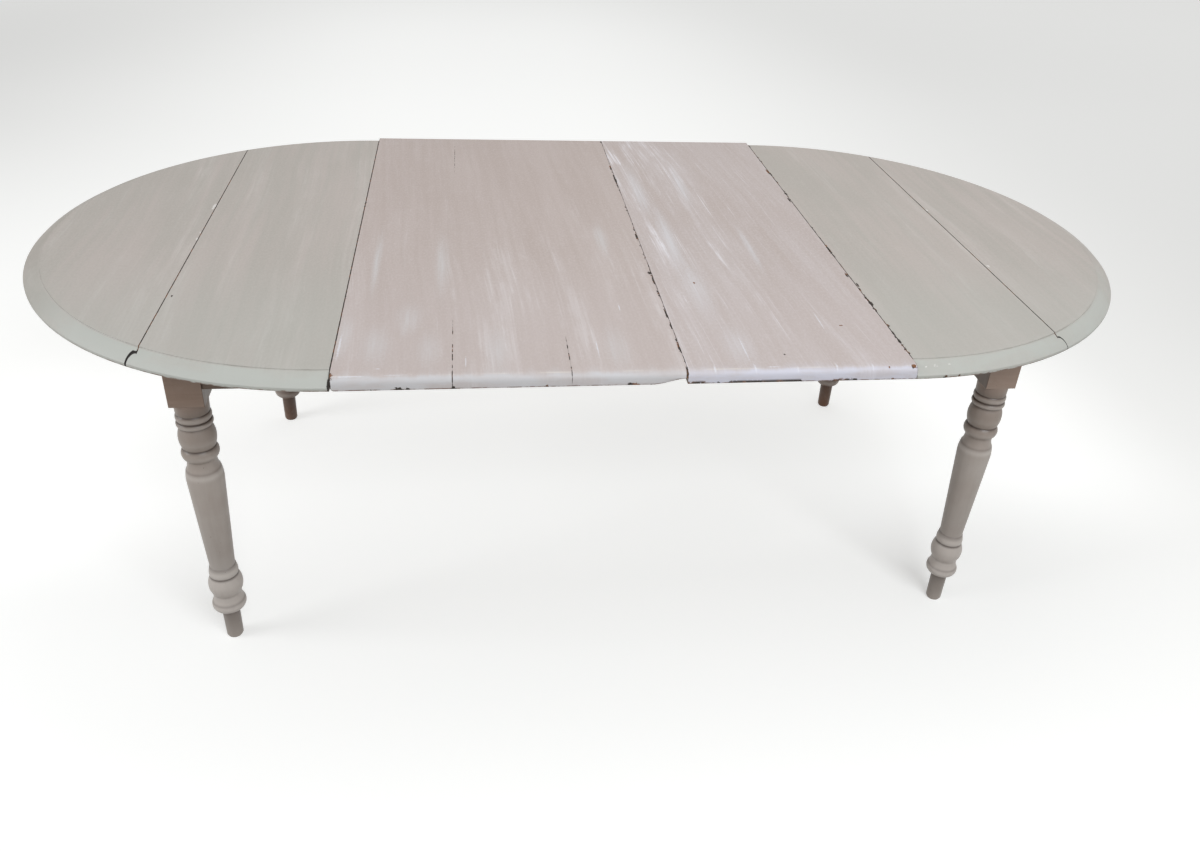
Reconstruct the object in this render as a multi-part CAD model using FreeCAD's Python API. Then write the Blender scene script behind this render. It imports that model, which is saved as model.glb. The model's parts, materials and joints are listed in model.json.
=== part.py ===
import FreeCAD, Part
import math
import os

# An extending dining table with turned legs, in millimetres. The top opens in the middle on wooden
# runners and takes two loose leaves, and each rounded end is a drop leaf on a rule joint.
# The origin is on the floor under the middle of the opened top. X runs along the table to its right
# end, Y away from the side that is looked at, and Z up.

# Driving sizes of the top
table_height = 750.0
top_radius = 650.0
top_thickness = 26.0
hinge_reach_share = 0.496    # of the radius, from the inner edge of a half to its hinge seam
wide_leaf_width = 600.0
narrow_leaf_width = 415.0
wide_leaf_board_count = 3
narrow_leaf_board_count = 2
seam_gap = 0.4               # between two neighbouring parts of the top
leaf_relief = 0.3            # a loose leaf is planed thinner, so it clears the runners

# Edge of the top, moulded on the round parts and only rounded over on the loose leaves
moulding_width = 32.0
moulding_drop = 18.0
moulding_crown = 3.5         # how far the slope bulges out
quirk_depth = 1.6
edge_land = 4.0
leaf_rounding = 13.0

# Rule joint between a half and its drop leaf
joint_fillet = 4.0
joint_radius = 18.0
joint_gap = 0.5

# Hinges of the drop leaves
hinge_line_share = 0.51      # of the radius, from the middle of the table to a hinge
hinge_width = 44.0
hinge_plate = 2.0
hinge_short_reach = 30.0
hinge_long_reach = 66.0
knuckle_radius = 3.2
knuckle_share = 0.32         # of the hinge width, for the knuckle of the drop leaf
knuckle_gap = 0.3
hinge_pin_radius = 1.5
pin_play = 0.05
pocket_play = 0.5

# Legs
block_side = 64.0
block_bottom = 588.0
block_shoulder_rise = 3.0    # height of the corners that the turning has just caught
turned_radius = 35.5
drop_leaf_play = 2.0         # between a hanging drop leaf and the leg blocks
leg_line_share = 0.666       # of the radius, from the middle of the table to a leg

# Apron
apron_height = 100.0
apron_thickness = 22.0
end_apron_setback = 3.0
side_apron_setback = 4.0
tenon_thickness = 10.0
tenon_height = 68.0
tenon_length = 25.0
mortise_spare = 2.0

# Lopers, the pull-out bars that carry a raised drop leaf
loper_line_share = 0.2       # of the radius, from the middle of the table to a loper
loper_width = 30.0
loper_height = 34.0
loper_play = 0.5
loper_inner_end = 8.0        # from the inner edge of the half to the end of a pushed-in loper
finger_radius = 10.0
finger_inset = 68.0          # from the outer end of a loper to the middle of its finger hollow
guide_length = 225.0
guide_wall = 12.0
guide_floor = 10.0
guide_floor_length = 130.0   # the floor stops here, so a hand reaches the finger hollow

# Runners, five side by side in each of two sets
runner_height = 50.0
runner_thickness = 26.0
runner_gap = 0.4
runner_relief = 0.3          # the middle runners lie lower than the outer ones
runner_end_play = 3.0
runner_line_share = 0.385    # of the radius, from the middle of the table to the middle runner
tongue_depth = 8.0
tongue_neck = 14.0
tongue_flare = 6.0
slide_play = 0.3
stop_land = 20.0             # wood left at the closed end of a groove
overtravel = 30.0            # of each sliding step, to free the leaves
stop_play = 0.5
runner_names = ("left_outer", "left_inner", "middle", "right_inner", "right_outer")

# Cross ties between the two sets of runners
tie_width = 60.0
tie_thickness = 20.0
tie_relief = 2.0
core_tie_share = 0.26        # of a runner's length, from its middle to the tie
inner_tie_share = 0.38

# Battens under the loose leaves
batten_width = 25.0
batten_height = 30.0
batten_inset = 20.0
batten_play = 3.0

# Glue blocks in the corners of the apron
glue_block_side = 25.0
glue_block_length = 50.0
side_block_shares = (0.24, 0.76)         # of the way from the inner edge to the leg

# Cutting and facets
overrun = 1.0                # how far a cutting tool reaches past the face it opens
turned_sides = 16            # flats round a turned leg, which keep its four copies light
ball_bands = 4               # straight bands that a large round of a leg is cut into
bow_bands = 3
slope_bands = 3
leaf_rounding_bands = 4
rounding_bands = 2

# Turned leg, foot to block: height as a share of the turned length, radius as a share of the widest
foot_shares = ((0.0, 0.42), (0.008, 0.485), (0.130, 0.50), (0.132, 0.75))
disc_shares = ((0.151, 0.95), (0.172, 0.90))
disc_top_shares = ((0.207, 0.785),)
ankle_shares = ((0.244, 0.96), (0.287, 0.765))
collar_shares = ((0.292, 0.81), (0.311, 0.80), (0.328, 0.70))
column_shares = ((0.702, 1.0), (0.728, 0.965), (0.742, 0.90))
neck_shares = ((0.763, 0.80), (0.782, 0.80))
ring_shares = ((0.804, 0.98), (0.826, 0.84))
ball_shares = ((0.866, 0.975), (0.908, 0.80))
bead_shares = (
    (0.912, 0.945), (0.925, 0.945), (0.930, 0.85), (0.935, 0.925),
    (0.952, 0.925), (0.957, 0.86), (0.961, 0.88), (1.0, 0.89),
)

# Worked out from the sizes above
hinge_reach = hinge_reach_share * top_radius
hinge_line = hinge_line_share * top_radius
hinge_places = (-hinge_line, hinge_line)
leg_line = leg_line_share * top_radius
loper_line = loper_line_share * top_radius
middle_runner_line = runner_line_share * top_radius
half_opening = (wide_leaf_width + narrow_leaf_width) / 2
leaf_seam = wide_leaf_width - half_opening
top_underside = table_height - top_thickness
leaf_underside = top_underside + leaf_relief
hinge_height = table_height - joint_fillet - joint_radius
hinge_rise = hinge_height - top_underside
leg_reach = hinge_reach - hinge_rise - drop_leaf_play - block_side / 2
block_outer = leg_reach + block_side / 2
block_inner = leg_reach - block_side / 2
leg_inner_line = leg_line - block_side / 2
end_apron_outer = block_outer - end_apron_setback
end_apron_inner = end_apron_outer - apron_thickness
side_apron_outer = leg_line + block_side / 2 - side_apron_setback
side_apron_inner = side_apron_outer - apron_thickness
apron_bottom = top_underside - apron_height
runner_length = 2 * (end_apron_inner - runner_end_play)
middle_runner = runner_names.index("middle")
runner_step = half_opening / middle_runner
runner_pitch = runner_thickness + runner_gap
tongue_length = runner_length - runner_step - stop_land - overtravel - stop_play
inner_runner_top = top_underside - runner_relief
inner_runner_bottom = inner_runner_top - runner_height
groove_height = top_underside - runner_height / 2
loper_top = top_underside - loper_play
loper_bottom = loper_top - loper_height
loper_outer_end = end_apron_outer - loper_play
outer_runner_line = middle_runner_line + middle_runner * runner_pitch
batten_line = outer_runner_line + runner_thickness / 2 + batten_play + batten_width / 2

x_axis = FreeCAD.Vector(1, 0, 0)
y_axis = FreeCAD.Vector(0, 1, 0)
z_axis = FreeCAD.Vector(0, 0, 1)
origin = FreeCAD.Vector(0, 0, 0)


def vector(x, y, z):
    return FreeCAD.Vector(x, y, z)


def block(x_range, y_range, z_range):
    """A box from its ranges along X, Y and Z."""
    corner = vector(x_range[0], y_range[0], z_range[0])
    size = [limits[1] - limits[0] for limits in (x_range, y_range, z_range)]
    return Part.makeBox(size[0], size[1], size[2], corner)


def around(centre, width):
    """A range of a given width about a centre."""
    return (centre - width / 2, centre + width / 2)


def line(start, end):
    return Part.LineSegment(start, end).toShape()


def arc(start, middle, end):
    return Part.Arc(start, middle, end).toShape()


def bow(start, middle, end, bands):
    """Points after the start along the arc through three points, one for each straight band."""
    return arc(start, middle, end).discretize(bands + 1)[1:]


def polygon(points):
    """Straight edges through the points in turn."""
    return [line(a, b) for a, b in zip(points, points[1:])]


def face(edges):
    return Part.Face(Part.Wire(edges))


def on_side(shape, side):
    """A piece modelled outward from the inner edge of a half, moved to the left or right half."""
    if side == "left":
        return shape.mirror(origin, x_axis).translated(vector(-half_opening, 0, 0))
    return shape.translated(vector(half_opening, 0, 0))


def at_front(shape):
    """The mirror copy, nearer the front, of a piece modelled at the back."""
    return shape.mirror(origin, y_axis)


def corner_inset(rounding):
    """How far, along each of its sides, a rounded corner's middle lies from the sharp corner."""
    return rounding * (1 - math.sqrt(0.5))


def lower_edge_points(point, underside):
    """The lower part of every edge in section, from the plumb face to the underside."""
    land_foot = table_height - moulding_drop - edge_land
    rounding = land_foot - underside
    inset = corner_inset(rounding)
    start = point(top_radius, land_foot)
    middle = point(top_radius - inset, underside + inset)
    end = point(top_radius - rounding, underside)
    return [start] + bow(start, middle, end, rounding_bands)


def moulded_edge_points(point):
    """The edge of the round top in section, from the flat over the slope to the underside."""
    slope_top = point(top_radius - moulding_width, table_height - quirk_depth)
    slope_foot = point(top_radius, table_height - moulding_drop)
    length = (slope_foot - slope_top).Length
    crown_r = top_radius - moulding_width / 2 + moulding_crown * (moulding_drop - quirk_depth) / length
    crown_z = table_height - (quirk_depth + moulding_drop) / 2 + moulding_crown * moulding_width / length
    points = [point(top_radius - moulding_width, table_height), slope_top]
    points += bow(slope_top, point(crown_r, crown_z), slope_foot, slope_bands)
    return points + lower_edge_points(point, top_underside)


def rounded_edge_points(point):
    """The edge of a loose leaf in section, from the flat over a quarter round to the underside."""
    inset = corner_inset(leaf_rounding)
    start = point(top_radius - leaf_rounding, table_height)
    middle = point(top_radius - inset, table_height - inset)
    end = point(top_radius, table_height - leaf_rounding)
    points = [start] + bow(start, middle, end, leaf_rounding_bands)
    return points + lower_edge_points(point, leaf_underside)


def half_disc():
    """Half of the round top with its drop leaf, whole, outward from the inner edge."""

    def point(r, z):
        return vector(0, -r, z)

    middle = [point(0, top_underside), point(0, table_height)]
    outline = middle + moulded_edge_points(point) + middle[:1]
    return face(polygon(outline)).revolve(origin, z_axis, 180)


def leaf_section():
    """The section of a loose leaf from its front edge to its back edge, on the plane X = 0."""
    back = rounded_edge_points(lambda r, z: vector(0, r, z))
    front = rounded_edge_points(lambda r, z: vector(0, -r, z))
    return face(polygon(back + front[::-1] + back[:1]))


def leaf_board(start, end):
    """One board of a loose leaf, between two places along X."""
    return leaf_section().translated(vector(start, 0, 0)).extrude(vector(end - start, 0, 0))


def joint_section(radius, seam, end):
    """A half's side or a drop leaf's side of the rule joint in section, up to a far end along X."""
    top = table_height + overrun
    under = top_underside - overrun
    reach_under = math.sqrt(radius**2 - (hinge_height - under) ** 2)
    lip = hinge_height + math.sqrt(radius**2 - (seam - hinge_reach) ** 2)
    middle = math.sqrt(0.5) * radius
    corners = [vector(hinge_reach + reach_under, 0, under), vector(end, 0, under)]
    corners += [vector(end, 0, top), vector(seam, 0, top), vector(seam, 0, lip)]
    edges = polygon(corners)
    edges.append(arc(corners[-1], vector(hinge_reach + middle, 0, hinge_height + middle), corners[0]))
    return face(edges)


def along_y(section):
    """A section in the XZ plane drawn out across the whole table."""
    reach = top_radius + overrun
    return section.translated(vector(0, -reach, 0)).extrude(vector(0, 2 * reach, 0))


def hinge_pocket(place):
    """Room in the underside of a half for a hinge and for the swing of its barrel."""
    half_pocket = hinge_rise + overrun
    across = around(place, hinge_width + 2 * pocket_play)
    floor = top_underside - overrun
    barrel_room = block(
        (hinge_reach - half_pocket, hinge_reach + half_pocket),
        across,
        (floor, hinge_height + knuckle_radius + pocket_play),
    )
    short_room = block(
        (hinge_reach - hinge_short_reach, hinge_reach),
        around(place, hinge_width),
        (floor, top_underside + hinge_plate),
    )
    long_room = block(
        (hinge_reach, hinge_reach + joint_radius + overrun),
        across,
        (floor, top_underside + hinge_plate + pocket_play),
    )
    return barrel_room.fuse([short_room, long_room])


def half_top():
    solid = half_disc().common(along_y(joint_section(joint_radius, hinge_reach, seam_gap / 2)))
    for place in hinge_places:
        solid = solid.cut(hinge_pocket(place))
    return solid.removeSplitter()


def drop_leaf():
    far = top_radius + overrun
    section = joint_section(joint_radius + joint_gap, hinge_reach + joint_gap, far)
    solid = half_disc().common(along_y(section))
    for place in hinge_places:
        room = block(
            (hinge_reach, hinge_reach + hinge_long_reach),
            around(place, hinge_width),
            (top_underside - overrun, top_underside + hinge_plate),
        )
        solid = solid.cut(room)
    return solid.removeSplitter()


def knuckle(place, width):
    start = vector(hinge_reach, place - width / 2, hinge_height)
    return Part.makeCylinder(knuckle_radius, width, start, y_axis)


def bored(solid):
    """A hinge leaf with its knuckles bored for the pin."""
    start = vector(hinge_reach, hinge_places[0] - hinge_width, hinge_height)
    reach = hinge_places[-1] - hinge_places[0] + 2 * hinge_width
    return solid.cut(Part.makeCylinder(hinge_pin_radius + pin_play, reach, start, y_axis)).removeSplitter()


def hinge_plate_range():
    return (top_underside, top_underside + hinge_plate)


def short_hinge_leaf(place):
    """The leaf let into the half, with the two outer knuckles."""
    middle = hinge_width * knuckle_share
    outer = (hinge_width - middle) / 2 - knuckle_gap
    clear = hinge_rise + overrun
    plate = block(
        (hinge_reach - hinge_short_reach, hinge_reach - clear - knuckle_gap),
        around(place, hinge_width),
        hinge_plate_range(),
    )
    pieces = []
    for sign in (-1, 1):
        centre = place + sign * (hinge_width - outer) / 2
        neck = block((hinge_reach - hinge_short_reach, hinge_reach), around(centre, outer), hinge_plate_range())
        pieces += [neck, knuckle(centre, outer)]
    return plate.fuse(pieces)


def long_hinge_leaf(place):
    """The leaf that reaches across the joint into the drop leaf, with the middle knuckle."""
    middle = hinge_width * knuckle_share
    clear = hinge_rise + overrun
    plate = block(
        (hinge_reach + clear + knuckle_gap, hinge_reach + hinge_long_reach),
        around(place, hinge_width),
        hinge_plate_range(),
    )
    neck = block((hinge_reach, hinge_reach + hinge_long_reach), around(place, middle), hinge_plate_range())
    return plate.fuse([neck, knuckle(place, middle)])


def hinge_group(leaf):
    return Part.makeCompound([bored(leaf(place)) for place in hinge_places])


def hinge_pins():
    pins = []
    for place in hinge_places:
        start = vector(hinge_reach, place - hinge_width / 2, hinge_height)
        pins.append(Part.makeCylinder(hinge_pin_radius, hinge_width, start, y_axis))
    return Part.makeCompound(pins)


def turned_point(share):
    return vector(turned_radius * share[1], 0, block_bottom * share[0])


def leg_outline():
    """Points up the turned part of a leg, from the sole to the block."""
    points = [turned_point(share) for share in foot_shares]

    def add_round(shares, bands):
        middle, end = [turned_point(share) for share in shares]
        points.extend(bow(points[-1], middle, end, bands))

    def add_straight(shares):
        points.extend([turned_point(share) for share in shares])

    add_round(disc_shares, bow_bands)
    add_straight(disc_top_shares)
    add_round(ankle_shares, ball_bands)
    add_straight(collar_shares)
    add_straight(column_shares)
    add_round(neck_shares, bow_bands)
    add_round(ring_shares, ball_bands)
    add_round(ball_shares, ball_bands)
    add_straight(bead_shares)
    return points


def turned_ring(point):
    """The corners of a many-sided ring round the leg's axis through a point of its outline."""
    turn = 2 * math.pi / turned_sides
    angles = [number * turn for number in range(turned_sides)]
    return [vector(point.x * math.cos(angle), point.x * math.sin(angle), point.z) for angle in angles]


def turned(outline):
    """A turned solid on the Z axis, as bands of flats between the rings of its outline."""
    rings = [turned_ring(point) for point in outline]
    faces = [face(polygon(ring + ring[:1])) for ring in (rings[0], rings[-1])]
    for lower, upper in zip(rings, rings[1:]):
        for number in range(turned_sides):
            corners = [lower[number - 1], lower[number], upper[number], upper[number - 1]]
            faces.append(face(polygon(corners + corners[:1])))
    return Part.makeSolid(Part.makeShell(faces))


def leg_block():
    """The square block on top of a leg, its lower corners caught by the turning."""
    half = block_side / 2
    square = block((-half, half), (-half, half), (block_bottom, top_underside))
    wide = math.hypot(half, half) / math.cos(math.pi / turned_sides)
    shoulder_top = block_bottom + block_shoulder_rise
    outline = [vector(wide - block_shoulder_rise, 0, block_bottom), vector(wide, 0, shoulder_top)]
    return square.common(turned(outline + [vector(wide, 0, top_underside)]))


def tenon_heights():
    middle = (apron_bottom + top_underside) / 2
    return around(middle, tenon_height)


def side_tenon(spare):
    """The tenon of the back side apron, or with a spare length its mortise."""
    middle = (side_apron_inner + side_apron_outer) / 2
    return block((block_inner, block_inner + tenon_length + spare), around(middle, tenon_thickness), tenon_heights())


def end_tenon(spare):
    """The tenon of the end apron into the back leg, or with a spare length its mortise."""
    middle = (end_apron_inner + end_apron_outer) / 2
    along = (leg_inner_line, leg_inner_line + tenon_length + spare)
    return block(around(middle, tenon_thickness), along, tenon_heights())


def leg():
    """The back leg of a half."""
    place = vector(leg_reach, leg_line, 0)
    solid = turned(leg_outline()).fuse(leg_block()).translated(place)
    return solid.cut([side_tenon(mortise_spare), end_tenon(mortise_spare)]).removeSplitter()


def side_apron():
    """The apron along the back of a half, from its inner edge into the leg."""
    board = block(
        (seam_gap / 2, block_inner), (side_apron_inner, side_apron_outer), (apron_bottom, top_underside)
    )
    return board.fuse(side_tenon(0)).removeSplitter()


def end_apron():
    """The apron between the two legs of a half, notched for the lopers."""
    along = (-leg_inner_line, leg_inner_line)
    board = block((end_apron_inner, end_apron_outer), along, (apron_bottom, top_underside))
    board = board.fuse([end_tenon(0), at_front(end_tenon(0))])
    for line_y in (-loper_line, loper_line):
        notch = block(
            (end_apron_inner - overrun, end_apron_outer + overrun),
            around(line_y, loper_width + 2 * loper_play),
            (loper_bottom - loper_play, top_underside + overrun),
        )
        board = board.cut(notch)
    return board.removeSplitter()


def loper():
    """The back loper of a half, pushed in, with a finger hollow across its underside."""
    bar = block((loper_inner_end, loper_outer_end), around(loper_line, loper_width), (loper_bottom, loper_top))
    start = vector(loper_outer_end - finger_inset, loper_line - loper_width / 2 - overrun, loper_bottom)
    return bar.cut(Part.makeCylinder(finger_radius, loper_width + 2 * overrun, start, y_axis))


def loper_guide():
    """The channel under the top that the back loper slides in, its floor only under the inner part."""
    room = loper_width + 2 * loper_play
    floor_top = loper_bottom - loper_play
    start = end_apron_inner - guide_length
    outer = block(
        (start, end_apron_inner),
        around(loper_line, room + 2 * guide_wall),
        (floor_top - guide_floor, top_underside),
    )
    channel = block(
        (start - overrun, end_apron_inner + overrun),
        around(loper_line, room),
        (floor_top, top_underside + overrun),
    )
    hand_room = block(
        (start + guide_floor_length, end_apron_inner + overrun),
        around(loper_line, room),
        (floor_top - guide_floor - overrun, floor_top + overrun),
    )
    return outer.cut([channel, hand_room])


def runner_line(index):
    """The middle of a back runner along Y, the outermost one counted first."""
    return middle_runner_line + (middle_runner - index) * runner_pitch


def runner_centre(index):
    """The middle of a runner along X when the table is opened for the leaves."""
    return (index - middle_runner) * runner_step


def dovetail(face_y, heads, play, x_range):
    """A dovetail bar that stands from a runner's outer face into its neighbour."""
    slope = tongue_flare / 2 / tongue_depth
    neck = tongue_neck / 2 + play
    root = neck - slope * heads
    tip = neck + slope * tongue_depth
    depth = tongue_depth + play
    corners = [
        vector(x_range[0], face_y, groove_height - root),
        vector(x_range[0], face_y + heads + depth, groove_height - tip),
        vector(x_range[0], face_y + heads + depth, groove_height + tip),
        vector(x_range[0], face_y, groove_height + root),
    ]
    outline = face(polygon(corners + corners[:1]))
    return outline.extrude(vector(x_range[1] - x_range[0], 0, 0))


def runner(index):
    """A back runner with its tongue towards the outside and its groove towards the inside."""
    first, last = 0, len(runner_names) - 1
    centre = runner_centre(index)
    along = around(centre, runner_length)
    middle = runner_line(index)
    outer_face = middle + runner_thickness / 2
    inner_face = middle - runner_thickness / 2
    top = top_underside if index in (first, last) else inner_runner_top
    bar = block(along, (inner_face, outer_face), (top - runner_height, top))
    if index != last:
        groove = dovetail(
            inner_face, 0, slide_play, (along[0] - overrun, along[1] - stop_land)
        )
        bar = bar.cut(groove)
    if index != first:
        tongue = dovetail(outer_face, runner_gap, 0, (along[0], along[0] + tongue_length))
        bar = bar.fuse(tongue)
    return bar.removeSplitter()


def cross_tie(index, centre):
    """A tie under the front and back runners of one number, cut back where others pass over it."""
    reach = runner_line(index) + runner_thickness / 2
    clear = runner_line(index) - runner_thickness / 2
    along = around(centre, tie_width)
    bar = block(along, (-reach, reach), (inner_runner_bottom - tie_relief - tie_thickness, inner_runner_bottom))
    room = block(
        (along[0] - overrun, along[1] + overrun),
        (-clear, clear),
        (inner_runner_bottom - tie_relief, inner_runner_bottom + overrun),
    )
    return bar.cut(room)


def glue_blocks():
    """Blocks in the corners between the top and the aprons of a half."""
    heights = (top_underside - glue_block_side, top_underside)
    blocks = []
    along = (end_apron_inner - glue_block_side, end_apron_inner)
    for sign in (-1, 0, 1):
        place = sign * (leg_inner_line - glue_block_length / 2)
        blocks.append(block(along, around(place, glue_block_length), heights))
    across = (side_apron_inner - glue_block_side, side_apron_inner)
    for share in side_block_shares:
        solid = block(around(share * block_inner, glue_block_length), across, heights)
        blocks += [solid, at_front(solid)]
    return Part.makeCompound(blocks)


def batten(start, end):
    """The back batten of a leaf, between the leaf's two seams."""
    return block(
        (start + batten_inset, end - batten_inset),
        around(batten_line, batten_width),
        (leaf_underside - batten_height, leaf_underside),
    )


def save(name, shape):
    shape.exportStep("parts/" + name + ".step")


def save_half(side):
    save(side + "_half_top", on_side(half_top(), side))
    save(side + "_end_apron", on_side(end_apron(), side))
    save(side + "_glue_blocks", on_side(glue_blocks(), side))
    save(side + "_hinge_half_leaves", on_side(hinge_group(short_hinge_leaf), side))
    save(side + "_hinge_pins", on_side(hinge_pins(), side))
    save(side + "_drop_leaf", on_side(drop_leaf(), side))
    save(side + "_hinge_drop_leaves", on_side(hinge_group(long_hinge_leaf), side))
    pairs = (("leg", leg()), ("side_apron", side_apron()), ("loper", loper()), ("loper_guide", loper_guide()))
    for name, shape in pairs:
        save(side + "_back_" + name, on_side(shape, side))
        save(side + "_front_" + name, on_side(at_front(shape), side))


def save_runners():
    for index, name in enumerate(runner_names):
        shape = runner(index)
        save(name + "_back_runner", shape)
        save(name + "_front_runner", at_front(shape))


def save_ties():
    ties = (
        ("middle_left_tie", "middle", -core_tie_share),
        ("middle_right_tie", "middle", core_tie_share),
        ("left_inner_tie", "left_inner", -inner_tie_share),
        ("right_inner_tie", "right_inner", inner_tie_share),
    )
    for name, runner_name, share in ties:
        index = runner_names.index(runner_name)
        save(name, cross_tie(index, runner_centre(index) + share * runner_length))


def save_leaf(name, start, end, count):
    """A loose leaf: its boards side by side and a batten at the front and the back."""
    first = start + seam_gap / 2
    width = (end - start - seam_gap) / count
    for number in range(count):
        board = leaf_board(first + number * width, first + (number + 1) * width)
        save(name + "_board_" + str(number + 1), board)
    save(name + "_back_batten", batten(start, end))
    save(name + "_front_batten", at_front(batten(start, end)))


os.makedirs("parts", exist_ok=True)
save_half("left")
save_half("right")
save_runners()
save_ties()
save_leaf("wide_leaf", -half_opening, leaf_seam, wide_leaf_board_count)
save_leaf("narrow_leaf", leaf_seam, half_opening, narrow_leaf_board_count)
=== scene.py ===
# %% [markdown]
# # An old extending table in worn paint
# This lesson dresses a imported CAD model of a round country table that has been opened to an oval.
# The CAD model gives every piece its place and its joints. Blender adds smooth turnings, rounded
# edges, small fastenings, and above all the paint: brushed, rubbed and chipped by long use.
# The frame is loaded first, and its box is noted, because the dressed table has to keep inside it.

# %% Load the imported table
import inspect
import json
import math

import bmesh
import bpy
from mathutils import Matrix, Vector


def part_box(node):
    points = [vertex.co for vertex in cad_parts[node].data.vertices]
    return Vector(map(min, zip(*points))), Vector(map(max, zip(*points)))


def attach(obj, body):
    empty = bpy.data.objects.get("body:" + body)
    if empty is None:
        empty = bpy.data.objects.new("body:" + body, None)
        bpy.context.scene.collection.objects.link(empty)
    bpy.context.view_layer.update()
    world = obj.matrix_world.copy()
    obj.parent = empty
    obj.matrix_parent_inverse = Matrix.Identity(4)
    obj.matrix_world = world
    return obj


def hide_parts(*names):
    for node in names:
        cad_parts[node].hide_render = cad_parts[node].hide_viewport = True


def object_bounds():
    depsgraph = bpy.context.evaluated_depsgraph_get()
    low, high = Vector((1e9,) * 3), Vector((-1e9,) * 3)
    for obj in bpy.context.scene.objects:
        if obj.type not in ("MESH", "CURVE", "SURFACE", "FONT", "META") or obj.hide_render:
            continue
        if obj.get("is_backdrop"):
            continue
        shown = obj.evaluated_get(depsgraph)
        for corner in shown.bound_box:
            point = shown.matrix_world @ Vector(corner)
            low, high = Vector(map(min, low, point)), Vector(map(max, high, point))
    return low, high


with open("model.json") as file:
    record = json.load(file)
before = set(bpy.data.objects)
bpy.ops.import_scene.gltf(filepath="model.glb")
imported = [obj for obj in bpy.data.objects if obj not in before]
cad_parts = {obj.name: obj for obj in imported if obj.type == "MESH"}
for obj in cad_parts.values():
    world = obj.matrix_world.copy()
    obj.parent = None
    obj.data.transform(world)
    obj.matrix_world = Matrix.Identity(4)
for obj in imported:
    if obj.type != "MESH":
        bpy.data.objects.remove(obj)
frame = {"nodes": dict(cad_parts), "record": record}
cad_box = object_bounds()
body_of = {
    node: body for body, nodes in frame["record"]["behaviour"]["bodies"].items() for node in nodes
}
slot_of = {row["node"]: row["material_slot"] for row in frame["record"]["subparts"]}

# %% [markdown]
# ## Sizes that the dressing needs
# The CAD model is fixed, so the few sizes that patterns and new pieces hang on are written again
# here, in metres. X runs along the table to its right end, Y away from the viewer and Z up.

# %% Note the table's sizes
TABLE_HEIGHT = 0.750
TOP_UNDERSIDE = 0.724
TOP_RADIUS = 0.650
MOULDING_WIDTH = 0.032
HALF_OPENING = 0.5075
HINGE_SEAM = HALF_OPENING + 0.3224
HINGE_HEIGHT = 0.728
HINGE_Y = 0.3315
JOINT_RADIUS = 0.018
LEAF_SEAM = 0.0925
BOARD_SEAMS = [-HALF_OPENING + (HALF_OPENING + LEAF_SEAM) / 3 * number for number in (1, 2)]
LEG_X = HALF_OPENING + 0.2844
LEG_Y = 0.4329
BLOCK_SIDE = 0.064
BLOCK_BOTTOM = 0.588
TURNED_RADIUS = 0.0355
SIDES = {"left": -1, "right": 1}
ENDS = {"front": -1, "back": 1}
print("opened length:", 2 * (HALF_OPENING + TOP_RADIUS), "m")

# %% [markdown]
# ## The camera
# The photograph was taken by a standing person in front of the table, a little left of its middle,
# looking down by about 31 degrees. The camera's place, turn and lens come from a fit of the
# table's outline, seams and legs. The small shift puts the table where the picture has it.

# %% Place the camera
def add_camera():
    data = bpy.data.cameras.new("photo_view")
    data.lens = 30.58
    data.shift_x = -0.0158
    data.shift_y = -0.0178
    camera = bpy.data.objects.new("photo_view", data)
    camera.location = (-0.272, -2.130, 1.605)
    camera.rotation_euler = [math.radians(angle) for angle in (58.53, -3.06, -7.59)]
    bpy.context.scene.collection.objects.link(camera)
    bpy.context.scene.camera = camera
    return camera


camera = add_camera()
bpy.context.scene.view_settings.view_transform = "Standard"
print("camera at", tuple(round(value, 3) for value in camera.location))

# %% [markdown]
# ## Fields
# A material is a tree of nodes. A field stands for one output of one node: a number, a vector or a
# colour that varies over a surface. Adding or multiplying fields puts Math nodes in their tree, so
# a pattern reads like a formula: noise, then a smooth step, then a mix of two paints.

# %% Write the fields
class Field:
    """Something that varies over a surface: one output of one node."""

    def __init__(self, socket):
        self.socket = socket
        self.tree = socket.id_data

    def __add__(self, other):
        return arithmetic("ADD", self, other)

    def __sub__(self, other):
        return arithmetic("SUBTRACT", self, other)

    def __rsub__(self, other):
        return arithmetic("SUBTRACT", other, self)

    def __mul__(self, other):
        return arithmetic("MULTIPLY", self, other)

    def __abs__(self):
        return arithmetic("ABSOLUTE", self)

    __radd__, __rmul__ = __add__, __mul__


def feed(socket, source):
    """Link a socket to a field, or give it a plain value."""
    if isinstance(source, Field):
        source.tree.links.new(source.socket, socket)
    else:
        socket.default_value = source


def new_field(tree, kind, output, **settings):
    """The output of a new node that takes nothing in."""
    node = tree.nodes.new(kind)
    for name, value in settings.items():
        setattr(node, name, value)
    return Field(node.outputs[output])


def node_field(kind, sources, output=0, **settings):
    """The output of a new node that is fed by its sources and stands in the same tree."""
    tree = next(source.tree for source in sources.values() if isinstance(source, Field))
    field = new_field(tree, kind, output, **settings)
    for key, source in sources.items():
        feed(field.socket.node.inputs[key], source)
    return field


def arithmetic(operation, first, second=0.0):
    return node_field("ShaderNodeMath", {0: first, 1: second}, operation=operation)


def vector_arithmetic(operation, first, second=(0.0, 0.0, 0.0), output=0):
    return node_field("ShaderNodeVectorMath", {0: first, 1: second}, output, operation=operation)


def larger(first, second):
    return arithmetic("MAXIMUM", first, second)


def distance(across, up):
    """How far a point is from another, given how far it is off in two directions."""
    return arithmetic("SQRT", arithmetic("POWER", across, 2.0) + arithmetic("POWER", up, 2.0))


def limited(value):
    """A value kept between 0 and 1."""
    return node_field("ShaderNodeClamp", {"Value": value})


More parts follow.
